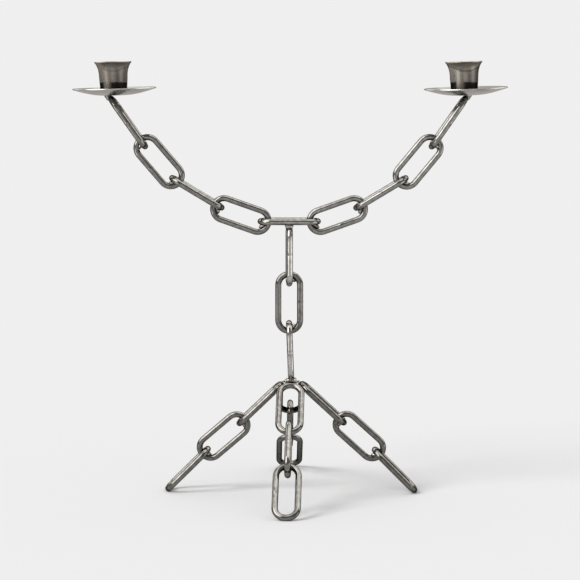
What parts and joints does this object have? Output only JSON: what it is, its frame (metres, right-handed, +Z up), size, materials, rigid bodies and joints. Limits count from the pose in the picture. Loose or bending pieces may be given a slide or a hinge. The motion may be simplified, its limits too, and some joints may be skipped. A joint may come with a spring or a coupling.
{
  "type": "candelabra",
  "caption": "Candelabra of welded oval chain links: a stem on splayed link legs carries curved link arms, each ending in a shallow drip pan and a flared candle cup.",
  "frame": {"origin": "on the floor, under the hub where the legs meet, in the middle of the feet", "axes": "+Z up, +X along the right arm as the picture shows it, +Y away from the viewer, along the back leg"},
  "size_m": [0.4172, 0.2463, 0.4197],
  "materials": {
    "link_steel": "warm grey bare steel bar, lightly rubbed, satin",
    "weld_steel": "lumpy weld bead, darker and rougher than the bar",
    "pan_steel": "light grey sheet steel, brushed",
    "cup_steel": "dark brown-grey sheet steel, satin, with heat marks near the foot"
  },
  "bodies": {
    "root": {"right_leg_weld_1": "weld_steel", "right_leg_weld_2": "weld_steel", "back_leg_weld_1": "weld_steel", "back_leg_weld_2": "weld_steel", "left_leg_weld_1": "weld_steel", "left_leg_weld_2": "weld_steel", "front_leg_weld_1": "weld_steel", "front_leg_weld_2": "weld_steel", "stem_weld_1": "weld_steel", "stem_weld_2": "weld_steel", "hub_weld": "weld_steel", "crossbar_front_weld": "weld_steel", "crossbar_back_weld": "weld_steel", "left_arm_weld_1": "weld_steel", "left_arm_weld_2": "weld_steel", "left_arm_weld_3": "weld_steel", "left_arm_weld_4": "weld_steel", "left_pan_weld": "weld_steel", "right_arm_weld_1": "weld_steel", "right_arm_weld_2": "weld_steel", "right_arm_weld_3": "weld_steel", "right_arm_weld_4": "weld_steel", "right_pan_weld": "weld_steel", "right_leg_link_1": "link_steel", "right_leg_link_2": "link_steel", "right_leg_link_3": "link_steel", "back_leg_link_1": "link_steel", "back_leg_link_2": "link_steel", "back_leg_link_3": "link_steel", "left_leg_link_1": "link_steel", "left_leg_link_2": "link_steel", "left_leg_link_3": "link_steel", "front_leg_link_1": "link_steel", "front_leg_link_2": "link_steel", "front_leg_link_3": "link_steel", "stem_link_1": "link_steel", "stem_link_2": "link_steel", "stem_link_3": "link_steel", "crossbar_link": "link_steel", "left_arm_link_1": "link_steel", "left_arm_link_2": "link_steel", "left_arm_link_3": "link_steel", "left_arm_link_4": "link_steel", "left_drip_pan": "pan_steel", "left_candle_cup": "cup_steel", "left_cup_weld": "weld_steel", "right_arm_link_1": "link_steel", "right_arm_link_2": "link_steel", "right_arm_link_3": "link_steel", "right_arm_link_4": "link_steel", "right_drip_pan": "pan_steel", "right_candle_cup": "cup_steel", "right_cup_weld": "weld_steel"}
  },
  "joints": []
}
